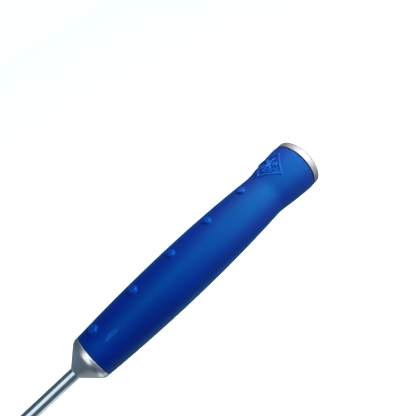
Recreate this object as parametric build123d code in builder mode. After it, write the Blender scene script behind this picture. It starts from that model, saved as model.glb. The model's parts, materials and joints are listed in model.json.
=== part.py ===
# Straight soft-grip tool handle on a thin round steel shank.
#
# Units are millimetres.  The handle's axis is the X axis.  The origin is the centre of the
# shank's shoulder, where a screwed-on tool head seats.  The stud points along -X and the grip
# and its end cap lie along +X.  +Z is up, through the middle of the row of nubs.
import os
from build123d import *

# Clearance between pieces that slide together by hand, on the radius
slip = 0.05

# Shank: a round bar with a stud in front of the shoulder and a thread at its rear end
shank_r = 3.0
shank_free = 108.0
stud_r = 2.5
stud_length = 12.0
thread_chamfer = 0.8
shank_inside = 130.3
cut_margin = 1.0

# Nose ferrule: a 45 degree cone that rounds over into a narrow rim
ferrule_tip_r = 3.3
ferrule_cone = 8.3
ferrule_rim = 2.4
ferrule_round = 4.5
ferrule_r = ferrule_tip_r + ferrule_cone
ferrule_edge_break = 0.15
spigot_length = 9.0

# Where the ferrule's back meets the grip; everything inside the grip is placed from here
grip_start = shank_free + ferrule_cone + ferrule_rim

# Cross pin through the ferrule's spigot and the shank
cross_pin_r = 1.0
cross_pin_x = grip_start + 4.5
cross_pin_length = 11.4
cross_pin_chamfer = 0.2

# Shank seal in its groove inside the ferrule
seal_groove_r = 4.3
seal_groove_width = 1.6
seal_groove_x = grip_start - 6.2

# Soft sleeve: two long arcs that meet at the belly, a neck, and a flare that levels off
# towards the cap
sleeve_length = 142.4
sleeve_front_r = 11.6
belly_at = 68.0
belly_r = 14.34
neck_at = 118.5
neck_r = 12.64
flare_r = 14.95
flare_end_slope = 0.05
neck_round = 26.0
sleeve_lip = 0.5
sleeve_rear_lip = 0.9

# Nubs: round buttons with a rounded edge, in one row, evenly spaced
nub_count = 5
first_nub_at = 8.0
nub_pitch = 24.7
nub_r = 2.35
nub_height = 1.15
nub_root = 1.2
nub_round = 0.9

# Raised medallion on the flare: a diamond frame around a six-armed ice crystal
medallion_at = 128.0
medallion_half_length = 9.4
medallion_half_width = 9.0
relief_line = 0.8
relief_fine_line = 0.6
relief_height = 0.5
relief_root = 0.6
crystal_core_r = 1.3
crystal_arm = 5.1
crystal_arms = 6
crystal_branches = (2.3, 3.8)
crystal_branch = 1.5
crystal_branch_turn = 60.0

# Ribbed carrier that the sleeve is moulded onto
carrier_r = 9.8
rib_r = 10.5
rib_width = 2.0
rib_pitch = 11.8
rib_count = 12

# Core tube, counterbored at the rear for the clamp parts and the cap
tube_r = 8.0
tube_bore_r = 6.0
counterbore_r = 6.8
counterbore_at = 116.6

# Bushes that centre the shank in the core tube
centre_bush_at = 62.0
centre_bush_length = 8.0
centre_bush_chamfer = 0.4
rear_bush_spigot = 6.0
rear_bush_flange = 4.0

# Clamp stack on the shank's rear thread, to the sizes of standard M6 hardware
thread_clear_r = 3.2
washer_r = 6.0
washer_thickness = 1.6
spring_washer_r = 5.55
spring_washer_gap = 1.2
nut_across_flats = 10.0
nut_height = 5.0
nut_chamfer_length = 0.45
nut_chamfer_depth = 0.75

# Cap gasket and end cap
gasket_r = 14.0
gasket_thickness = 0.6
cap_r = 14.7
cap_thickness = 4.5
cap_round = 1.4
cap_front_edge = 0.2
cap_spigot_length = 10.0
cap_spigot_wall = 2.6
cap_ring_groove_r = 5.5
cap_ring_groove_width = 1.7
cap_ring_groove_at = 4.0

sleeve_end = grip_start + sleeve_length
cap_start = sleeve_end + gasket_thickness
cap_end = cap_start + cap_thickness
rear_bush_seat = grip_start + counterbore_at
washer_start = rear_bush_seat + rear_bush_flange
spring_washer_start = washer_start + washer_thickness
nut_start = spring_washer_start + washer_thickness

os.makedirs("parts", exist_ok=True)


def finish(builder, name):
    """Label a finished piece and write its file."""
    builder.part.label = name
    export_step(builder.part, f"parts/{name}.step")


def ring_section(inner_r, outer_r, start, stop):
    """Half section of a plain ring or tube about the X axis."""
    with BuildSketch(Plane.XZ) as section:
        with Locations((start, inner_r)):
            Rectangle(stop - start, outer_r - inner_r, align=(Align.MIN, Align.MIN))
    return section.sketch


def round_section(ring_r, thickness_r, middle):
    """Half section of an O-ring about the X axis."""
    with BuildSketch(Plane.XZ) as section:
        with Locations((middle, ring_r)):
            Circle(thickness_r)
    return section.sketch


def sleeve_outline(grow=0.0):
    """Half section of the grip's outer form, filled to the axis, raised by grow."""
    front = (grip_start, sleeve_front_r + grow)
    belly = (grip_start + belly_at, belly_r + grow)
    neck = (grip_start + neck_at, neck_r + grow)
    rear = (sleeve_end, flare_r + grow)
    with BuildSketch(Plane.XZ) as section:
        with BuildLine():
            TangentArc(belly, front, tangent=(-1, 0))
            TangentArc(belly, neck, tangent=(1, 0))
            TangentArc(rear, neck, tangent=(-1, -flare_end_slope))
            Polyline(rear, (sleeve_end, 0), (grip_start, 0), front)
        make_face()
        fillet(section.vertices().sort_by_distance(neck)[0], neck_round)
        fillet(section.vertices().sort_by_distance(rear)[0], sleeve_rear_lip)
        fillet(section.vertices().sort_by_distance(front)[0], sleeve_lip)
    return section.sketch


def carrier_outline():
    """Half section of the ribbed carrier, filled to the axis."""
    first_rib = (sleeve_length - (rib_count - 1) * rib_pitch) / 2
    with BuildSketch(Plane.XZ) as section:
        with Locations((grip_start, 0)):
            Rectangle(sleeve_length, carrier_r, align=(Align.MIN, Align.MIN))
        for rib in range(rib_count):
            with Locations((grip_start + first_rib + rib * rib_pitch, 0)):
                Rectangle(rib_width, rib_r, align=(Align.CENTER, Align.MIN))
    return section.sketch


def sleeve_radius(at):
    """Radius of the sleeve in front of the neck, at a distance behind the ferrule."""
    span, drop = belly_at, belly_r - sleeve_front_r
    if at > belly_at:
        span, drop = neck_at - belly_at, belly_r - neck_r
    arc_r = (span**2 + drop**2) / (2 * drop)
    return belly_r - arc_r + (arc_r**2 - (at - belly_at) ** 2) ** 0.5


def diamond(inset):
    """Corners of the medallion's outline, with its sides moved inwards by an inset."""
    diagonal = (medallion_half_length**2 + medallion_half_width**2) ** 0.5
    share = 1 - inset * diagonal / (medallion_half_length * medallion_half_width)
    length, width = share * medallion_half_length, share * medallion_half_width
    return (length, 0), (0, width), (-length, 0), (0, -width)


# Shank rod
with BuildPart() as shank_rod:
    with BuildSketch(Plane.YZ.offset(-stud_length)):
        Circle(stud_r)
    extrude(amount=stud_length)
    with BuildSketch(Plane.YZ):
        Circle(shank_r)
    extrude(amount=grip_start + shank_inside)
    end_faces = shank_rod.faces().filter_by(Axis.X).sort_by(Axis.X)
    chamfer([end_faces[0].edges()[0], end_faces[-1].edges()[0]], thread_chamfer)
    with BuildSketch(Plane.XZ):
        with Locations((cross_pin_x, 0)):
            Circle(cross_pin_r + slip)
    extrude(amount=shank_r + cut_margin, both=True, mode=Mode.SUBTRACT)
finish(shank_rod, "shank_rod")

# Nose ferrule
with BuildPart() as nose_ferrule:
    bore_r = shank_r + slip
    rim_start = grip_start - ferrule_rim
    with BuildSketch(Plane.XZ) as ferrule_section:
        with BuildLine():
            Polyline(
                (shank_free, bore_r),
                (shank_free, ferrule_tip_r),
                (rim_start, ferrule_r),
                (grip_start, ferrule_r),
                (grip_start, tube_bore_r - slip),
                (grip_start + spigot_length, tube_bore_r - slip),
                (grip_start + spigot_length, bore_r),
                close=True,
            )
        make_face()
        fillet(ferrule_section.vertices().sort_by_distance((rim_start, ferrule_r))[0], ferrule_round)
        rim_corner = ferrule_section.vertices().sort_by_distance((grip_start, ferrule_r))[0]
        chamfer(rim_corner, ferrule_edge_break)
    revolve(axis=Axis.X)
    groove = (seal_groove_x - seal_groove_width / 2, seal_groove_x + seal_groove_width / 2)
    revolve(ring_section(bore_r - cut_margin, seal_groove_r, *groove), axis=Axis.X, mode=Mode.SUBTRACT)
    with BuildSketch(Plane.XZ):
        with Locations((cross_pin_x, 0)):
            Circle(cross_pin_r + slip)
    extrude(amount=tube_bore_r + cut_margin, both=True, mode=Mode.SUBTRACT)
finish(nose_ferrule, "nose_ferrule")

# Shank seal: an O-ring in the ferrule's groove
with BuildPart() as shank_seal:
    seal_inner_r = shank_r + slip / 2
    seal_section_r = (seal_groove_r - slip / 2 - seal_inner_r) / 2
    revolve(round_section(seal_inner_r + seal_section_r, seal_section_r, seal_groove_x), axis=Axis.X)
finish(shank_seal, "shank_seal")

# Cross pin
with BuildPart() as cross_pin:
    with BuildSketch(Plane.XZ.offset(-cross_pin_length / 2)):
        with Locations((cross_pin_x, 0)):
            Circle(cross_pin_r)
    extrude(amount=cross_pin_length)
    chamfer(cross_pin.edges().filter_by(GeomType.CIRCLE), cross_pin_chamfer)
finish(cross_pin, "cross_pin")

# Core tube
with BuildPart() as core_tube:
    revolve(ring_section(tube_bore_r, tube_r, grip_start, sleeve_end), axis=Axis.X)
    counterbore = ring_section(0, counterbore_r, rear_bush_seat, sleeve_end)
    revolve(counterbore, axis=Axis.X, mode=Mode.SUBTRACT)
finish(core_tube, "core_tube")

# Grip carrier
with BuildPart() as grip_carrier:
    revolve(carrier_outline(), axis=Axis.X)
    carrier_bore = ring_section(0, tube_r + slip, grip_start, sleeve_end)
    revolve(carrier_bore, axis=Axis.X, mode=Mode.SUBTRACT)
finish(grip_carrier, "grip_carrier")

# Medallion relief, cut to follow the flare; it is moulded in one with the sleeve
with BuildPart() as medallion:
    with BuildSketch(Plane.XY):
        with Locations((grip_start + medallion_at, 0)):
            Polygon(*diamond(0))
            Polygon(*diamond(relief_line), mode=Mode.SUBTRACT)
            RegularPolygon(crystal_core_r, crystal_arms)
            for arm in range(crystal_arms):
                turn = 360 / crystal_arms * arm
                with Locations(Rotation(0, 0, turn)):
                    with Locations((crystal_arm / 2, 0)):
                        Rectangle(crystal_arm, relief_line)
                    for branch_at in crystal_branches:
                        for side in (-1, 1):
                            with Locations(Location((branch_at, 0), side * crystal_branch_turn)):
                                Rectangle(crystal_branch, relief_fine_line, align=(Align.MIN, Align.CENTER))
    extrude(amount=belly_r + cut_margin)
    revolve(sleeve_outline(relief_height), axis=Axis.X, mode=Mode.INTERSECT)
    revolve(sleeve_outline(-relief_root), axis=Axis.X, mode=Mode.SUBTRACT)

# Nubs: both edges are rounded, and the lower one ends up inside the sleeve
with BuildPart() as nubs:
    for nub in range(nub_count):
        nub_at = first_nub_at + nub * nub_pitch
        with Locations((grip_start + nub_at, 0, sleeve_radius(nub_at) + nub_height)):
            Cylinder(nub_r, nub_height + nub_root, align=(Align.CENTER, Align.CENTER, Align.MAX))
    fillet(nubs.edges().filter_by(GeomType.CIRCLE), nub_round)

# Grip sleeve with its nubs and medallion
with BuildPart() as grip_sleeve:
    revolve(sleeve_outline(), axis=Axis.X)
    add(nubs.part)
    add(medallion.part)
    revolve(carrier_outline(), axis=Axis.X, mode=Mode.SUBTRACT)
finish(grip_sleeve, "grip_sleeve")

# Centre bush
with BuildPart() as centre_bush:
    bush_start = grip_start + centre_bush_at
    bush = ring_section(shank_r + slip, tube_bore_r - slip, bush_start, bush_start + centre_bush_length)
    revolve(bush, axis=Axis.X)
    chamfer(centre_bush.edges().filter_by(GeomType.CIRCLE), centre_bush_chamfer)
finish(centre_bush, "centre_bush")

# Rear bush: its flange seats on the step of the core tube's counterbore
with BuildPart() as rear_bush:
    spigot = ring_section(0, tube_bore_r - slip, rear_bush_seat - rear_bush_spigot, rear_bush_seat)
    flange = ring_section(0, counterbore_r - slip, rear_bush_seat, washer_start)
    revolve(spigot, axis=Axis.X)
    revolve(flange, axis=Axis.X)
    bush_bore = ring_section(0, shank_r + slip, rear_bush_seat - rear_bush_spigot, washer_start)
    revolve(bush_bore, axis=Axis.X, mode=Mode.SUBTRACT)
finish(rear_bush, "rear_bush")

# Flat washer
with BuildPart() as flat_washer:
    revolve(ring_section(thread_clear_r, washer_r, washer_start, spring_washer_start), axis=Axis.X)
finish(flat_washer, "flat_washer")

# Spring washer, split on one side
with BuildPart() as spring_washer:
    revolve(ring_section(thread_clear_r, spring_washer_r, spring_washer_start, nut_start), axis=Axis.X)
    with Locations((spring_washer_start, 0, 0)):
        Box(
            2 * washer_thickness + cut_margin,
            spring_washer_gap,
            washer_r,
            align=(Align.CENTER, Align.CENTER, Align.MIN),
            mode=Mode.SUBTRACT,
        )
finish(spring_washer, "spring_washer")

# Clamp nut, with its corners chamfered on both faces
with BuildPart() as clamp_nut:
    with BuildSketch(Plane.YZ.offset(nut_start)):
        RegularPolygon(nut_across_flats / 2, 6, major_radius=False)
        Circle(shank_r + slip, mode=Mode.SUBTRACT)
    extrude(amount=nut_height)
    nut_corner_r = nut_across_flats / 3**0.5
    with BuildSketch(Plane.XZ) as nut_blank:
        with Locations((nut_start, 0)):
            Rectangle(nut_height, nut_corner_r, align=(Align.MIN, Align.MIN))
        nut_corners = nut_blank.vertices().group_by(Axis.Y)[-1]
        chamfer(nut_corners, length=nut_chamfer_length, length2=nut_chamfer_depth)
    revolve(axis=Axis.X, mode=Mode.INTERSECT)
finish(clamp_nut, "clamp_nut")

# Cap gasket
with BuildPart() as cap_gasket:
    revolve(ring_section(tube_r, gasket_r, sleeve_end, cap_start), axis=Axis.X)
finish(cap_gasket, "cap_gasket")

# End cap with a hollow spigot that plugs the core tube
with BuildPart() as end_cap:
    with BuildSketch(Plane.XZ) as cap_section:
        with Locations((cap_start, 0)):
            Rectangle(cap_thickness, cap_r, align=(Align.MIN, Align.MIN))
        fillet(cap_section.vertices().sort_by_distance((cap_end, cap_r))[0], cap_round)
        chamfer(cap_section.vertices().sort_by_distance((cap_start, cap_r))[0], cap_front_edge)
    revolve(axis=Axis.X)
    cap_spigot_r = counterbore_r - slip
    cap_spigot_start = cap_start - cap_spigot_length
    cap_spigot = ring_section(cap_spigot_r - cap_spigot_wall, cap_spigot_r, cap_spigot_start, cap_start)
    revolve(cap_spigot, axis=Axis.X)
    cap_ring_x = cap_spigot_start + cap_ring_groove_at
    cap_groove = (cap_ring_x - cap_ring_groove_width / 2, cap_ring_x + cap_ring_groove_width / 2)
    revolve(ring_section(cap_ring_groove_r, tube_r, *cap_groove), axis=Axis.X, mode=Mode.SUBTRACT)
finish(end_cap, "end_cap")

# Cap O-ring
with BuildPart() as cap_o_ring:
    cap_ring_section_r = (counterbore_r - cap_ring_groove_r - slip) / 2
    cap_ring_middle_r = cap_ring_groove_r + slip / 2 + cap_ring_section_r
    revolve(round_section(cap_ring_middle_r, cap_ring_section_r, cap_ring_x), axis=Axis.X)
finish(cap_o_ring, "cap_o_ring")
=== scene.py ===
"""Looks of the soft-grip handle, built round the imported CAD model. Lengths are in metres."""
import json
import math

import bmesh
import bpy
import numpy as np
from mathutils import Matrix, Vector


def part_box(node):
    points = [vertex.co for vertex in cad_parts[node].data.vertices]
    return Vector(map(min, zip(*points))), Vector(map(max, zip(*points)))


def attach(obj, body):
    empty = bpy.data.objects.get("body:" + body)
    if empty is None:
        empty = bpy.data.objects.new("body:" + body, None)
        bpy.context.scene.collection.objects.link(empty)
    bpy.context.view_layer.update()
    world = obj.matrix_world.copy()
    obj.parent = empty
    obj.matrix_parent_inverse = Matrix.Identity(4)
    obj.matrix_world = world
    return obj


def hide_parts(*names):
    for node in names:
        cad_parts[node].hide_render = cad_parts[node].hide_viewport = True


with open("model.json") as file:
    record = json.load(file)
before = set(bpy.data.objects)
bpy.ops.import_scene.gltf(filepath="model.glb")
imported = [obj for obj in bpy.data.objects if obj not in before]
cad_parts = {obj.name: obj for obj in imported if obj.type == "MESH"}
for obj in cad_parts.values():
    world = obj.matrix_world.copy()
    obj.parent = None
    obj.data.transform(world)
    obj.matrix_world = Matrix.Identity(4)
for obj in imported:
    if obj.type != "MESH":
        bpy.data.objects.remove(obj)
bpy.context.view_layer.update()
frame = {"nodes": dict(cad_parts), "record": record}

MM = 0.001

# Places along the handle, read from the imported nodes
grip_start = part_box("grip_sleeve")[0].x
sleeve_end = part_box("grip_sleeve")[1].x
sleeve_length = sleeve_end - grip_start
ferrule_low, ferrule_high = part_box("nose_ferrule")
shank_low, shank_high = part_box("shank_rod")
gasket_low, gasket_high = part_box("cap_gasket")
cap_low, cap_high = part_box("end_cap")

# Sleeve form, the same driving sizes as the CAD model
front_r = 11.6 * MM
belly_at = 68.0 * MM
belly_r = 14.34 * MM
neck_at = 118.5 * MM
neck_r = 12.64 * MM
flare_r = 14.95 * MM
flare_end_slope = 0.05
neck_round = 26.0 * MM
sleeve_lip = 0.5 * MM
sleeve_rear_lip = 0.9 * MM
sleeve_bore_r = 9.8 * MM
# Keeps the skin inside the facets of the CAD mesh
surface_sink = 0.01 * MM

# Nubs, moulding dimple and medallion on the sleeve
nub_count = 5
first_nub_at = 8.0 * MM
nub_pitch = 24.7 * MM
nub_r = 2.35 * MM
nub_height = 1.15 * MM
nub_round = 0.9 * MM
nub_skirt = 0.2 * MM
nub_skirt_sink = 0.01 * MM
# How raised the material takes a nub to be, where the medallion's lines are 1; this sets its polish
# and how much painted highlight it gets
nub_raised = 0.6
dimple_at = 69.85 * MM
dimple_r = 0.95 * MM
dimple_depth = 0.32 * MM
medallion_at = 128.0 * MM
medallion_half_length = 9.4 * MM
medallion_half_width = 9.0 * MM
relief_line = 0.8 * MM
relief_fine_line = 0.6 * MM
relief_height = 0.5 * MM
crystal_core_r = 1.3 * MM
crystal_arm = 5.1 * MM
crystal_arms = 6
crystal_branches = (2.3 * MM, 3.8 * MM)
crystal_branch = 1.5 * MM
crystal_branch_turn = math.radians(60)
# Shares of a line's half width: its flat top, and the slope beside it
bead_flat = 0.45
bead_slope = 0.7

# A painted highlight: a lighter, streaky patch of colour on the near side of the sleeve's front
highlight_patch_at = 13.1 * MM
highlight_patch_turn = math.radians(40.5)
highlight_patch_r = 12.55 * MM
highlight_patch_reach = (5.5 * MM, 1.5 * MM, 1.5 * MM)
highlight_patch_place = (
    grip_start + highlight_patch_at,
    -highlight_patch_r * math.sin(highlight_patch_turn),
    highlight_patch_r * math.cos(highlight_patch_turn),
)

# Shank and its stud
shank_r = shank_high.z
shank_shoulder_round = 0.2 * MM
stud_r = 2.5 * MM
stud_pitch = 0.8 * MM
stud_thread_depth = 0.46 * MM
stud_run_out = 1.2 * MM
thread_chamfer = 0.8 * MM

# Ferrule, end cap and gasket
inner_corner_round = 0.1 * MM
ferrule_tip_r = 3.3 * MM
ferrule_rim = 2.4 * MM
ferrule_round = 4.5 * MM
ferrule_edge_break = 0.15 * MM
ferrule_edge_round = 0.02 * MM
ferrule_tip_round = 0.09 * MM
ferrule_bore_round = 0.06 * MM
ferrule_spigot_round = 0.3 * MM
ferrule_spigot_r = 5.95 * MM
ferrule_bore_r = 3.05 * MM
ferrule_r = ferrule_high.z
cap_r = cap_high.z
cap_thickness = 4.5 * MM
cap_round = 1.4 * MM
cap_front_edge = 0.2 * MM
cap_spigot_r = 6.75 * MM
cap_spigot_wall = 2.6 * MM
cap_spigot_round = 0.4 * MM
cap_bore_round = 0.2 * MM
gasket_bore_r = 8.0 * MM
gasket_round = 0.2 * MM


# ---------------------------------------------------------------- mesh helpers

# A radius below this is on the axis
on_axis = 1e-9


def add_mesh(name, points, faces, slot, replaced, raised=None):
    """Makes one smooth piece that rides on the only body, in place of a CAD node."""
    mesh = bpy.data.meshes.new(name)
    mesh.from_pydata([tuple(p) for p in points], [], faces)
    shell = bmesh.new()
    shell.from_mesh(mesh)
    bmesh.ops.recalc_face_normals(shell, faces=shell.faces)
    shell.to_mesh(mesh)
    shell.free()
    if raised is not None:
        mesh.attributes.new("raised", "FLOAT", "POINT").data.foreach_set("value", raised)
    mesh.shade_smooth()
    mesh.materials.append(materials[slot])
    piece = bpy.data.objects.new(name, mesh)
    bpy.context.scene.collection.objects.link(piece)
    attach(piece, "root")
    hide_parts(*replaced)


def points_around(x, radius, turn):
    """Points at a place along the X axis, a radius from it and a turn round it from the top."""
    return np.stack([x, radius * np.sin(turn), radius * np.cos(turn)], axis=-1).reshape(-1, 3)


def wrap_faces(rows, columns, closed_rows=False, start=0):
    """Quads of a grid of points whose columns go once round. Its first point is number start."""
    faces = []
    last = rows if closed_rows else rows - 1
    for row in range(last):
        here = start + row * columns
        following = start + (row + 1) % rows * columns
        for column in range(columns):
            beside = (column + 1) % columns
            faces.append((here + column, following + column, following + beside, here + beside))
    return faces


def end_fans(rows, columns, first_middle, last_middle, start=0):
    """Triangles that close both ends of such a grid, each to its middle point."""
    faces = []
    base = start + (rows - 1) * columns
    for column in range(columns):
        beside = (column + 1) % columns
        faces.append((first_middle, start + column, start + beside))
        faces.append((last_middle, base + beside, base + column))
    return faces


def rounded_outline(corners, steps=10, support=0.04 * MM):
    """Points (x, r) along straight runs whose corners (x, r, radius) are rounded over.

    A point stands just before and just after each rounded corner, so that flat faces shade flat.
    """
    outline = []
    for i, (x, r, radius) in enumerate(corners):
        here = Vector((x, r))
        if radius <= 0 or i in (0, len(corners) - 1):
            outline.append(here)
            continue
        before = (Vector(corners[i - 1][:2]) - here).normalized()
        after = (Vector(corners[i + 1][:2]) - here).normalized()
        half_turn = math.acos(max(-1.0, min(1.0, before.dot(after)))) / 2
        reach = radius / math.tan(half_turn)
        centre = here + (before + after).normalized() * (radius / math.sin(half_turn))
        start, end = here + before * reach, here + after * reach
        outline.append(start + before * support)
        from_angle = math.atan2(*(start - centre).yx)
        sweep = math.atan2(*(end - centre).yx) - from_angle
        sweep = (sweep + math.pi) % (2 * math.pi) - math.pi
        for step in range(steps + 1):
            angle = from_angle + sweep * step / steps
            outline.append(centre + radius * Vector((math.cos(angle), math.sin(angle))))
        outline.append(end + after * support)
    return outline


def lathe(name, outline, slot, replaced, columns=160, closed=False):
    """Turns an outline of (x, r) points round the X axis. An open outline starts and ends on it."""
    turns = np.linspace(0, 2 * math.pi, columns, endpoint=False)
    rings = [p for p in outline if closed or p[1] > on_axis]
    points = [(x, r * math.sin(t), r * math.cos(t)) for x, r in rings for t in turns]
    faces = wrap_faces(len(rings), columns, closed)
    if not closed:
        faces += end_fans(len(rings), columns, len(points), len(points) + 1)
        points += [(outline[0][0], 0, 0), (outline[-1][0], 0, 0)]
    add_mesh(name, points, faces, slot, replaced)


# ---------------------------------------------------------------- material helpers


class Nodes:
    """A short way to write one material's node tree."""

    def __init__(self, name):
        self.material = bpy.data.materials.new(name)
        self.material.use_nodes = True
        self.tree = self.material.node_tree
        self.shader = self.tree.nodes["Principled BSDF"]
        self.place = self.add("ShaderNodeTexCoord").outputs["Object"]

    def add(self, kind, **settings):
        node = self.tree.nodes.new(kind)
        for key, value in settings.items():
            setattr(node, key, value)
        return node

    def link(self, source, target):
        self.tree.links.new(source, target)

    def stretched(self, scale):
        """Object position times scale along each axis."""
        node = self.add("ShaderNodeVectorMath", operation="MULTIPLY")
        self.link(self.place, node.inputs[0])
        node.inputs[1].default_value = scale
        return node.outputs["Vector"]

    def noise(self, scale, detail=4.0, roughness=0.55, stretch=(1, 1, 1), distortion=0.0):
        node = self.add("ShaderNodeTexNoise")
        self.link(self.stretched(stretch), node.inputs["Vector"])
        node.inputs["Scale"].default_value = scale
        node.inputs["Detail"].default_value = detail
        node.inputs["Roughness"].default_value = roughness
        node.inputs["Distortion"].default_value = distortion
        return node.outputs["Fac"]

    def spread(self, source, low, high, to_low=0.0, to_high=1.0):
        """Maps source from low..high to to_low..to_high, and holds it there."""
        node = self.add("ShaderNodeMapRange")
        self.link(source, node.inputs["Value"])
        sockets = ("From Min", "From Max", "To Min", "To Max")
        for socket, value in zip(sockets, (low, high, to_low, to_high)):
            node.inputs[socket].default_value = value
        return node.outputs["Result"]

    def math(self, operation, first, second):
        node = self.add("ShaderNodeMath", operation=operation)
        for socket, value in zip(node.inputs, (first, second)):
            if isinstance(value, (int, float)):
                socket.default_value = value
            else:
                self.link(value, socket)
        return node.outputs["Value"]

    def spot(self, middle, reach, full_share=0.3):
        """One near a place, falling to nothing at its reach along each axis."""
        node = self.add("ShaderNodeVectorMath", operation="SUBTRACT")
        self.link(self.place, node.inputs[0])
        node.inputs[1].default_value = middle
        scaled = self.add("ShaderNodeVectorMath", operation="MULTIPLY")
        self.link(node.outputs["Vector"], scaled.inputs[0])
        scaled.inputs[1].default_value = [1 / side for side in reach]
        away = self.add("ShaderNodeVectorMath", operation="LENGTH")
        self.link(scaled.outputs["Vector"], away.inputs[0])
        return self.spread(away.outputs["Value"], full_share, 1.0, 1.0, 0.0)

    def mix(self, factor, first, second):
        """Blends two colours, each of which is a tuple or another node's output."""
        node = self.add("ShaderNodeMix", data_type="RGBA")
        self.link(factor, node.inputs["Factor"])
        for socket, value in zip((node.inputs[6], node.inputs[7]), (first, second)):
            if isinstance(value, tuple):
                socket.default_value = (*value, 1)
            else:
                self.link(value, socket)
        return node.outputs[2]

    def bump(self, height, distance, strength, below=None):
        node = self.add("ShaderNodeBump")
        node.inputs["Strength"].default_value = strength
        node.inputs["Distance"].default_value = distance
        self.link(height, node.inputs["Height"])
        if below is not None:
            self.link(below, node.inputs["Normal"])
        return node.outputs["Normal"]

    def finish(self, colour, roughness=None, normal=None, **plain):
        """Links the shader, and sets what is the same all over on its own sockets."""
        for socket, value in (("Base Color", colour), ("Roughness", roughness), ("Normal", normal)):
            if value is not None:
                self.link(value, self.shader.inputs[socket])
        for key, value in plain.items():
            self.shader.inputs[key.replace("_", " ")].default_value = value
        return self.material


def silicone():
    """Blue moulded silicone: deep colour, satin skin, faint handling marks in its roughness, and
    painted highlights: a lighter patch near the front, and lighter raised lines and nubs.
    """
    deep_blue, mottled_blue = (0.0005, 0.0022, 0.113), (0.0008, 0.0036, 0.140)
    # Lighter blues painted on as highlights: on the raised lines and nubs, and on a patch near the
    # front
    painted_highlight_blue, highlight_patch_blue = (0.002, 0.060, 0.37), (0.005, 0.045, 0.27)
    painted_highlight_share, raised_polish = 0.8, 0.30
    rough_low, rough_high = 0.50, 0.57
    n = Nodes("sleeve_silicone")
    mottle = n.spread(n.noise(70, detail=3, stretch=(0.35, 1, 1)), 0.3, 0.7)
    grain = n.noise(2600, detail=3, roughness=0.6)
    marks = n.noise(130, detail=5, roughness=0.6, stretch=(0.4, 1, 1), distortion=0.6)
    smudge = n.spread(marks, 0.35, 0.72)
    colour = n.mix(mottle, deep_blue, mottled_blue)
    raised = n.add("ShaderNodeAttribute", attribute_name="raised").outputs["Fac"]
    polish = n.math("MULTIPLY", raised, raised_polish)
    roughness = n.math("SUBTRACT", n.spread(smudge, 0.0, 1.0, rough_low, rough_high), polish)
    # Painted highlight: raised lines and nubs are coloured lighter, the medallion's lines most;
    # their lower roughness above is their polish
    painted_highlight = n.math("MULTIPLY", n.math("MULTIPLY", raised, raised), painted_highlight_share)
    colour = n.mix(painted_highlight, colour, painted_highlight_blue)
    # Painted highlight: a lighter, streaky patch of colour near the front of the sleeve
    streaks = n.spread(n.noise(900, detail=4, roughness=0.6, stretch=(0.3, 1, 1)), 0.35, 0.65)
    highlight_patch = n.math("MULTIPLY", n.spot(highlight_patch_place, highlight_patch_reach), streaks)
    colour = n.mix(highlight_patch, colour, highlight_patch_blue)
    undulation = n.noise(420, detail=4, roughness=0.5)
    coarse = n.bump(undulation, distance=0.05 * MM, strength=0.35)
    normal = n.bump(grain, distance=0.02 * MM, strength=0.5, below=coarse)
    return n.finish(
        colour,
        roughness,
        normal,
        IOR=1.45,
        Specular_IOR_Level=0.5,
        Specular_Tint=(0.0, 0.72, 1.0, 1),
        Sheen_Weight=0.2,
        Sheen_Roughness=0.35,
        Sheen_Tint=(0.03, 0.62, 0.75, 1),
    )


def turned_metal(name, base, clouded, rough, line_scale, line_depth, anisotropic):
    """Metal with the fine rings that a lathe leaves round the X axis."""
    n = Nodes(name)
    rings = n.noise(line_scale, detail=4, roughness=0.7, stretch=(1, 0.004, 0.004))
    cloud = n.spread(n.noise(160), 0.35, 0.7)
    colour = n.mix(cloud, base, clouded)
    roughness = n.spread(rings, 0.3, 0.7, rough - 0.05, rough + 0.06)
    normal = n.bump(rings, distance=line_depth, strength=0.6)
    return n.finish(colour, roughness, normal, Metallic=1.0, Anisotropic=anisotropic)


def polished_steel():
    """Bright round bar with faint lines along it."""
    clean, specked = (0.78, 0.84, 0.90), (0.66, 0.70, 0.75)
    rough_low, rough_high = 0.18, 0.26
    n = Nodes("shank_steel")
    lines = n.noise(900, detail=4, roughness=0.6, stretch=(0.02, 1, 1))
    specks = n.spread(n.noise(500, detail=5, roughness=0.7), 0.55, 0.8)
    roughness = n.spread(lines, 0.3, 0.7, rough_low, rough_high)
    normal = n.bump(lines, distance=0.004 * MM, strength=0.4)
    return n.finish(n.mix(specks, clean, specked), roughness, normal, Metallic=1.0)


def moulded(name, base, clouded, rough):
    """Plain moulded plastic or rubber with a fine grain."""
    n = Nodes(name)
    cloud = n.spread(n.noise(180), 0.35, 0.65)
    roughness = n.spread(cloud, 0.0, 1.0, rough - 0.06, rough + 0.05)
    normal = n.bump(n.noise(1500, detail=3, roughness=0.6), distance=0.03 * MM, strength=0.4)
    return n.finish(n.mix(cloud, base, clouded), roughness, normal)


# Colour, clouded colour, roughness, scale and depth of the lathe's rings, anisotropy
turned_finishes = {
    "ferrule_aluminium": ((0.70, 0.71, 0.74), (0.80, 0.80, 0.83), 0.33, 5000, 0.012 * MM, 0.35),
    # The cap's colour is painted shade: a far darker copy of the ferrule's aluminium, set low so
    # that the strong lamps on the cap don't wash it out
    "cap_aluminium": ((0.205, 0.211, 0.217), (0.235, 0.235, 0.242), 0.59, 4200, 0.015 * MM, 0.0),
    "tube_aluminium": ((0.60, 0.61, 0.62), (0.68, 0.69, 0.70), 0.34, 2600, 0.01 * MM, 0.35),
    "bush_brass": ((0.60, 0.42, 0.16), (0.70, 0.52, 0.22), 0.25, 4200, 0.01 * MM, 0.35),
    "zinc_steel": ((0.52, 0.54, 0.58), (0.62, 0.63, 0.64), 0.36, 3000, 0.01 * MM, 0.35),
    "spring_steel": ((0.10, 0.10, 0.11), (0.17, 0.17, 0.18), 0.45, 3000, 0.01 * MM, 0.35),
}
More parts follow.
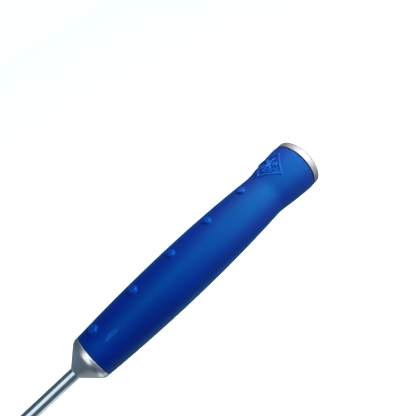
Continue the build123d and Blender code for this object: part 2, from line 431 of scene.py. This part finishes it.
# Colour, clouded colour, roughness
moulded_finishes = {
    "seal_rubber": ((0.010, 0.010, 0.012), (0.018, 0.018, 0.020), 0.60),
    "carrier_nylon": ((0.020, 0.020, 0.022), (0.040, 0.040, 0.043), 0.50),
    "bush_nylon": ((0.70, 0.68, 0.60), (0.78, 0.77, 0.70), 0.42),
}
materials = {"sleeve_silicone": silicone(), "shank_steel": polished_steel()}
for slot, finish in turned_finishes.items():
    materials[slot] = turned_metal(slot, *finish)
for slot, finish in moulded_finishes.items():
    materials[slot] = moulded(slot, *finish)


# ---------------------------------------------------------------- grip sleeve


def tangent_arc_r(distance, span, drop):
    """Radius of the sleeve at a distance from the belly, along an arc that drops over a span."""
    arc = (span**2 + drop**2) / (2 * drop)
    return belly_r - arc + np.sqrt(arc**2 - distance**2)


def flare_arc_r(at):
    """Radius of the sleeve behind the neck, along an arc that levels off towards the cap."""
    chord = Vector((neck_at - sleeve_length, neck_r - flare_r))
    inward = Vector((flare_end_slope, -1)).normalized()
    arc = chord.length_squared / (2 * chord.dot(inward))
    centre = Vector((sleeve_length, flare_r)) + inward * arc
    return centre.y + np.sqrt(arc**2 - (at - centre.x) ** 2)


def sleeve_radius(at):
    """Outer radius at distances behind the ferrule: two arcs, a rounded neck and the flare."""
    at = np.asarray(at, float)
    front = tangent_arc_r(np.minimum(at, belly_at) - belly_at, belly_at, belly_r - front_r)
    back = tangent_arc_r(np.maximum(at, belly_at) - belly_at, neck_at - belly_at, belly_r - neck_r)
    flare = flare_arc_r(at)
    near_neck = np.array([neck_at - MM, neck_at + MM])
    fall = -np.diff(tangent_arc_r(near_neck - belly_at, neck_at - belly_at, belly_r - neck_r))[0]
    climb = np.diff(flare_arc_r(near_neck))[0]
    # A parabola rounds the place where the two arcs cross, and passes this far outside it
    blend = neck_round * ((fall + climb) / (2 * MM)) ** 2 / 8
    gap = np.abs(back - flare)
    share = np.clip(1 - gap / (4 * blend), 0, 1)
    rounded = np.maximum(back, flare) + blend * share**2
    body = np.where(at < belly_at, front, back)
    return np.where(at > neck_at - neck_round / 4, rounded, body)


def distance_to_segment(x, y, start, end):
    along = np.subtract(end, start)
    share = ((x - start[0]) * along[0] + (y - start[1]) * along[1]) / np.dot(along, along)
    share = np.clip(share, 0, 1)
    return np.hypot(x - start[0] - share * along[0], y - start[1] - share * along[1])


def bead(away, line):
    """Height of a raised line of the medallion, at a distance from its middle."""
    edge = np.clip((away / (line / 2) - bead_flat) / bead_slope, 0, 1)
    return relief_height * (1 - edge * edge * (3 - 2 * edge))


def medallion_height(x, y):
    """Height of the diamond frame and the six-armed ice crystal."""
    diagonal = math.hypot(medallion_half_length, medallion_half_width)
    apothem = medallion_half_length * medallion_half_width / diagonal
    level = np.abs(x) / medallion_half_length + np.abs(y) / medallion_half_width
    height = bead(np.abs(level * apothem - apothem + relief_line / 2), relief_line)
    height = np.maximum(height, bead(np.maximum(np.hypot(x, y) - crystal_core_r, 0), relief_line))
    for arm in range(crystal_arms):
        turn = 2 * math.pi / crystal_arms * arm
        outward = np.array([math.cos(turn), math.sin(turn)])
        away = distance_to_segment(x, y, (0, 0), crystal_arm * outward)
        height = np.maximum(height, bead(away, relief_line))
        for branch_at in crystal_branches:
            for side in (-1, 1):
                angle = turn + side * crystal_branch_turn
                fork = branch_at * outward
                tip = fork + crystal_branch * np.array([math.cos(angle), math.sin(angle)])
                away = distance_to_segment(x, y, fork, tip)
                height = np.maximum(height, bead(away, relief_fine_line))
    return height


def nub_profile():
    """Distance from a nub's middle and height, from the top to a hidden edge in the sleeve."""
    flat_rings, round_rings, skirt_rings = 4, 11, 7
    flat_r = nub_r - nub_round
    away = list(np.linspace(0, flat_r, flat_rings + 1)[1:])
    height = [nub_height] * len(away)
    for angle in np.linspace(0, math.pi / 2, round_rings + 1)[1:]:
        away.append(flat_r + nub_round * math.sin(angle))
        height.append(nub_height - nub_round * (1 - math.cos(angle)))
    skirt_foot = max(nub_height - nub_round - nub_skirt, 0) - nub_skirt_sink
    for angle in np.linspace(0, math.pi / 2, skirt_rings):
        away.append(nub_r + nub_skirt * (1 - math.cos(angle)))
        height.append(skirt_foot + nub_skirt * (1 - math.sin(angle)))
    away.append(nub_r + nub_skirt)
    height.append(-nub_skirt)
    return np.array(away), np.array(height)


def nub_mesh(place, start, columns=72):
    """Points and faces of one nub, laid over the curve of the sleeve."""
    away, height = nub_profile()
    around = np.linspace(0, 2 * math.pi, columns, endpoint=False)
    at = place + away[:, None] * np.cos(around)
    turn = away[:, None] * np.sin(around) / sleeve_radius(place)
    top = sleeve_radius(place) + nub_height
    bottom = top - nub_height - 2 * nub_skirt
    radius = np.minimum(sleeve_radius(at) + height[:, None], top)
    rings = points_around(grip_start + at, radius, turn)
    middles = [(grip_start + place, 0, top), (grip_start + place, 0, bottom)]
    upper = start + len(rings)
    faces = wrap_faces(len(away), columns, start=start)
    faces += end_fans(len(away), columns, upper, upper + 1, start)
    return np.concatenate([rings, middles]), faces


def relief(at, turn, radius):
    """Height above the plain sleeve: the medallion's, less the depth of the dimple."""
    away = np.hypot(at - dimple_at, radius * turn)
    dimple = dimple_depth * np.clip(1 - (away / dimple_r) ** 2, 0, 1) ** 2
    raised = medallion_height(at - medallion_at, radius * np.sin(turn))
    return np.where(np.abs(turn) < math.pi / 2, raised, 0) - dimple


def graded(start, end, fine_spans, coarse, fine):
    """Places from start to end, close together within the fine spans and coarse elsewhere."""
    places, at = [start], start
    while at < end - fine / 2:
        inside = any(low <= at < high for low, high in fine_spans)
        at += fine if inside else coarse
        places.append(min(at, end))
    return np.array(places)


def lip(edge_at, edge_r, depth, steps=7):
    """Quarter round from the outer face to the end face, which lies depth away along X."""
    quarter = np.linspace(0, math.pi / 2, steps + 1)[1:]
    return edge_at + depth * np.sin(quarter), edge_r - abs(depth) * (1 - np.cos(quarter))


def grip_sleeve():
    """The silicone skin: a grid round the handle, finer at its details, and the nubs on it."""
    coarse_step, fine_step = 1.0 * MM, 0.13 * MM
    fine_turn, fine_turn_step = math.radians(44), math.radians(0.55)
    plain_columns = 100
    end_support = 0.08 * MM
    reach = medallion_half_length + relief_line
    fine_spans = [
        (dimple_at - 2 * dimple_r, dimple_at + 2 * dimple_r),
        (medallion_at - reach, medallion_at + reach),
    ]
    rear_edge_at = sleeve_length - sleeve_rear_lip
    outer_at = graded(sleeve_lip, rear_edge_at, fine_spans, coarse_step, fine_step)
    outer_r = sleeve_radius(outer_at)
    front_at, front_lip_r = lip(sleeve_lip, outer_r[0], -sleeve_lip)
    rear_at, rear_lip_r = lip(rear_edge_at, outer_r[-1], sleeve_rear_lip)
    # Behind the rear lip come the flat end face, the bore and the flat front face
    closing = [
        (sleeve_length, rear_lip_r[-1] - end_support),
        (sleeve_length, sleeve_bore_r + end_support),
        (sleeve_length - end_support, sleeve_bore_r),
        (end_support, sleeve_bore_r),
        (0.0, sleeve_bore_r + end_support),
        (0.0, front_lip_r[-1] - end_support),
    ]
    closing_at, closing_r = zip(*closing)
    rows_at = np.concatenate([front_at[::-1], outer_at, rear_at, closing_at])
    rows_r = np.concatenate([front_lip_r[::-1], outer_r, rear_lip_r, closing_r])
    top = np.arange(-fine_turn, fine_turn, fine_turn_step)
    rest = np.linspace(fine_turn, 2 * math.pi - fine_turn, plain_columns, endpoint=False)
    turns = np.concatenate([top, rest])
    at, turn = np.meshgrid(rows_at, turns, indexing="ij")
    signed_turn = (turn + math.pi) % (2 * math.pi) - math.pi
    radius = np.repeat(rows_r[:, None], len(turns), axis=1)
    outside = np.zeros((len(rows_at), 1))
    outside[len(front_at) : len(front_at) + len(outer_at)] = 1
    height = relief(at, signed_turn, radius) * outside
    radius = radius + height - surface_sink * outside
    raised = np.clip(height / relief_height, 0, 1).reshape(-1)
    points = points_around(grip_start + at, radius, turn)
    faces = wrap_faces(len(rows_at), len(turns), closed_rows=True)
    for nub in range(nub_count):
        nub_points, nub_faces = nub_mesh(first_nub_at + nub * nub_pitch, len(points))
        points = np.concatenate([points, nub_points])
        raised = np.concatenate([raised, np.full(len(nub_points), nub_raised)])
        faces += nub_faces
    add_mesh("grip_sleeve_skin", points, faces, "sleeve_silicone", ["grip_sleeve"], raised)


grip_sleeve()


# ---------------------------------------------------------------- turned pieces


def nose_ferrule():
    """Cone with a rounded shoulder, and the spigot behind it. The outline closes along the bore."""
    rim_start = grip_start - ferrule_rim
    edge_start = grip_start - ferrule_edge_break
    spigot_end = ferrule_high.x
    bore_inset = 2 * MM
    corners = [
        (ferrule_low.x + bore_inset, ferrule_bore_r, 0),
        (ferrule_low.x, ferrule_bore_r, ferrule_bore_round),
        (ferrule_low.x, ferrule_tip_r, ferrule_tip_round),
        (rim_start, ferrule_r, ferrule_round),
        (edge_start, ferrule_r, ferrule_edge_round),
        (grip_start, ferrule_r - ferrule_edge_break, ferrule_edge_round),
        (grip_start, ferrule_spigot_r, inner_corner_round),
        (spigot_end, ferrule_spigot_r, ferrule_spigot_round),
        (spigot_end, ferrule_bore_r, inner_corner_round),
        (spigot_end - bore_inset, ferrule_bore_r, 0),
    ]
    outline = rounded_outline(corners)
    lathe("nose_ferrule_turned", outline, "ferrule_aluminium", ["nose_ferrule"], closed=True)


def end_cap():
    """Disc with a rounded rear edge, and the hollow spigot in front of it."""
    front = cap_high.x - cap_thickness
    cap_bore_r = cap_spigot_r - cap_spigot_wall
    corners = [
        (front, 0, 0),
        (front, cap_bore_r, inner_corner_round),
        (cap_low.x, cap_bore_r, cap_bore_round),
        (cap_low.x, cap_spigot_r, cap_spigot_round),
        (front, cap_spigot_r, inner_corner_round),
        (front, cap_r, cap_front_edge),
        (cap_high.x, cap_r, cap_round),
        (cap_high.x, 0, 0),
    ]
    outline = rounded_outline(corners)
    lathe("end_cap_turned", outline, "cap_aluminium", ["end_cap"], columns=180)


def stud_radius(x, turns):
    """Radius of the helical stud thread, which fades out towards the shoulder."""
    flank_slope, crest_flat = 1.25, 0.1
    wave = ((x / stud_pitch) - turns / (2 * math.pi)) % 1.0
    depth = np.clip(np.abs(2 * wave - 1) * flank_slope - crest_flat, 0, 1)
    fade = min(1.0, max(0.0, (-stud_run_out - x) / stud_pitch))
    cone = stud_r - thread_chamfer + (x - shank_low.x)
    return np.minimum(stud_r - stud_thread_depth * depth * fade, cone)


def shank_rod():
    """The bar with its helical stud thread; the part inside the grip is plain."""
    columns = 96
    rows_per_pitch = 16
    stud_root_gap, stud_root_step = 0.03 * MM, 0.05 * MM
    shoulder_middle = 0.06 * MM
    shoulder_support, end_support = 0.1 * MM, 1.0 * MM
    turns = np.linspace(0, 2 * math.pi, columns, endpoint=False)
    rows = list(np.arange(shank_low.x, 0, stud_pitch / rows_per_pitch))
    radii = [stud_radius(x, turns) for x in rows]
    plain = [
        (-stud_root_gap, stud_r),
        (0.0, stud_r + stud_root_step),
        (0.0, shank_r - shank_shoulder_round),
        (shoulder_middle, shank_r - shoulder_middle),
        (shank_shoulder_round, shank_r),
        (shank_shoulder_round + shoulder_support, shank_r),
        (shank_high.x - end_support, shank_r),
        (shank_high.x - thread_chamfer, shank_r),
        (shank_high.x, shank_r - thread_chamfer),
    ]
    for x, radius in plain:
        rows.append(x)
        radii.append(np.full(columns, radius))
    x, turn = np.meshgrid(rows, turns, indexing="ij")
    points = points_around(x, np.array(radii), turn)
    faces = wrap_faces(len(rows), columns)
    faces += end_fans(len(rows), columns, len(points), len(points) + 1)
    points = np.concatenate([points, [(shank_low.x, 0, 0), (shank_high.x, 0, 0)]])
    add_mesh("shank_rod_drawn", points, faces, "shank_steel", ["shank_rod"])


def cap_gasket():
    """Flat rubber ring between the sleeve and the cap."""
    outer = gasket_high.z
    seam_r = (gasket_bore_r + outer) / 2
    seam_gap = 0.1 * MM
    corners = [
        (gasket_low.x, seam_r, 0),
        (gasket_low.x, outer, gasket_round),
        (gasket_high.x, outer, gasket_round),
        (gasket_high.x, gasket_bore_r, inner_corner_round),
        (gasket_low.x, gasket_bore_r, inner_corner_round),
        (gasket_low.x, seam_r - seam_gap, 0),
    ]
    outline = rounded_outline(corners, steps=6, support=0.02 * MM)
    lathe("cap_gasket_ring", outline, "seal_rubber", ["cap_gasket"], closed=True)


nose_ferrule()
end_cap()
shank_rod()
cap_gasket()

# Hidden pieces keep their CAD shape and take the finish of their slot
replaced_nodes = ("grip_sleeve", "nose_ferrule", "end_cap", "shank_rod", "cap_gasket")
for part in frame["record"]["subparts"]:
    if part["node"] in replaced_nodes:
        continue
    cad_mesh = frame["nodes"][part["node"]].data
    cad_mesh.materials.clear()
    cad_mesh.materials.append(materials[part["material_slot"]])


# ---------------------------------------------------------------- floor, light and camera

# The camera stands over the front half of the grip, on its near side
view_elevation = math.radians(43.3)
view_distance = 206.9 * MM
view_x = grip_start + 30.6 * MM
view_swing = math.radians(15.95)
view_offset = math.radians(4.28)
view_roll = math.radians(42.13)
view_lens = 35.0
view_sensor = 36.0

# Directions: along the handle, towards the camera, and square to both, low on the near side
along_handle = Vector((1, 0, 0))
to_camera = Vector((0, -math.cos(view_elevation), math.sin(view_elevation)))
to_side = Vector((0, -math.sin(view_elevation), -math.cos(view_elevation)))


def towards(camera, along, side):
    """Direction made up of these shares of the three."""
    return camera * to_camera + along * along_handle + side * to_side


def camera():
    data = bpy.data.cameras.new("camera")
    data.sensor_width = view_sensor
    data.lens = view_lens
    data.clip_start = 0.01
    data.clip_end = 20
    seen = bpy.data.objects.new("camera", data)
    bpy.context.scene.collection.objects.link(seen)
    # Looks back at the handle, off its axis by the offset and along it by the swing
    sideways = -math.sin(view_offset) * to_side - math.cos(view_offset) * to_camera
    look = math.sin(view_swing) * along_handle + math.cos(view_swing) * sideways
    level = (along_handle - look * look.x).normalized()
    down = look.cross(level)
    right = math.cos(view_roll) * level + math.sin(view_roll) * down
    turn = Matrix((right, look.cross(right) * -1, -look)).transposed().to_4x4()
    place = Vector((view_x, 0, 0)) + to_camera * view_distance
    seen.matrix_world = Matrix.Translation(place) @ turn
    bpy.context.scene.camera = seen


white = (1.0, 1.0, 1.0)
cool = (0.40, 0.75, 1.0)


def softbox(name, target, direction, distance, size, glow, colour):
    """A flat lamp that faces the target. Its glow is the brightness that a mirror would show."""
    data = bpy.data.lights.new(name, "AREA")
    data.shape = "RECTANGLE"
    data.size, data.size_y = size
    data.energy = glow * math.pi * size[0] * size[1]
    data.color = colour
    light = bpy.data.objects.new(name, data)
    bpy.context.scene.collection.objects.link(light)
    direction = direction.normalized()
    along = (along_handle - direction * direction.x).normalized()
    turn = Matrix((along, direction.cross(along), direction)).transposed().to_4x4()
    light.matrix_world = Matrix.Translation(target + direction * distance) @ turn


def stage_piece(name, points, faces, material):
    """A piece of the surroundings, which no surface reflects and which lights none."""
    mesh = bpy.data.meshes.new(name)
    mesh.from_pydata(points, [], faces)
    mesh.materials.append(material)
    piece = bpy.data.objects.new(name, mesh)
    bpy.context.scene.collection.objects.link(piece)
    piece.visible_diffuse = False
    piece.visible_glossy = False
    return piece


def surroundings():
    """A white floor that meets a white wall all round, in a dim blue room."""
    floor_low, floor_r, wall_top, roof_rise = 0.22, 2.5, 3.0, 1.0
    floor_rough, floor_glow, room_glow = 0.9, 0.9, 0.14
    sides = 64
    n = Nodes("floor_white")
    tone = n.mix(n.spread(n.noise(3, detail=2), 0.3, 0.7), (0.88, 0.88, 0.88), (0.90, 0.90, 0.90))
    n.finish(
        tone,
        Roughness=floor_rough,
        Specular_IOR_Level=0.1,
        Emission_Color=(1, 1, 1, 1),
        Emission_Strength=floor_glow,
    )
    turns = [2 * math.pi * side / sides for side in range(sides)]
    rim = [(floor_r * math.cos(t), floor_r * math.sin(t), -floor_low) for t in turns]
    stage_piece("floor", rim, [tuple(range(sides))], n.material)
    top = [(x, y, wall_top) for x, y, z in rim]
    panels = [(i, (i + 1) % sides, sides + (i + 1) % sides, sides + i) for i in range(sides)]
    peak = (0, 0, wall_top + roof_rise)
    wall = stage_piece("wall", rim + top + [peak], panels, n.material)
    wall.visible_shadow = False
    world = bpy.data.worlds.new("studio")
    world.use_nodes = True
    background = world.node_tree.nodes["Background"]
    background.inputs["Color"].default_value = (*cool, 1)
    background.inputs["Strength"].default_value = room_glow
    bpy.context.scene.world = world


def lamps():
    """Soft lamps round the handle, each facing the part of it that it is for."""
    shank_lit_before, grip_lit_at = 55 * MM, 48 * MM
    cap = Vector((cap_low.x, 0, 0))
    tip = Vector((ferrule_low.x, 0, 0))
    shank = Vector((ferrule_low.x - shank_lit_before, 0, 0))
    belly = Vector((grip_start + belly_at, 0, 0))
    grip = Vector((grip_start + grip_lit_at, 0, 0))
    for name, target, direction, distance, size, glow, colour in (
        ("key", cap, towards(1, 0.68, -0.1), 0.27, (0.16, 0.6), 10.2, white),
        ("key_core", cap, towards(1, 0.68, 0), 0.27, (0.16, 0.2), 3.0, white),
        ("cap_high", cap, towards(0.2, 0.6, -1), 0.27, (0.2, 0.2), 1.75, white),
        ("cap_low", cap, towards(0.2, 0.6, 1), 0.27, (0.2, 0.2), 1.15, white),
        ("grip_streak", grip, towards(1, 0, -0.3), 0.3, (0.08, 0.05), 24.0, white),
        ("shank_top", tip, towards(1, -0.4, -0.38), 0.3, (0.14, 0.3), 0.85, white),
        ("shank_low", shank, towards(-0.35, 0, 1), 0.1, (0.05, 0.09), 0.75, white),
        ("front", tip, towards(0.74, -0.74, -0.15), 0.3, (0.11, 0.25), 1.7, white),
        ("front_low", tip, towards(-0.6, -0.7, 0.4), 0.3, (0.25, 0.25), 0.20, white),
        ("rim_low", tip, towards(-0.4, -0.12, 0.9), 0.2, (0.06, 0.1), 0.4, white),
        ("front_high", tip, towards(-0.6, -0.7, -0.4), 0.3, (0.2, 0.2), 0.14, cool),
        ("under", belly, towards(-0.56, 0, 0.83), 0.25, (0.2, 0.2), 0.6, cool),
    ):
        softbox(name, target, direction, distance, size, glow, colour)


camera()
surroundings()
lamps()

scene = bpy.context.scene
scene.view_settings.view_transform = "Standard"
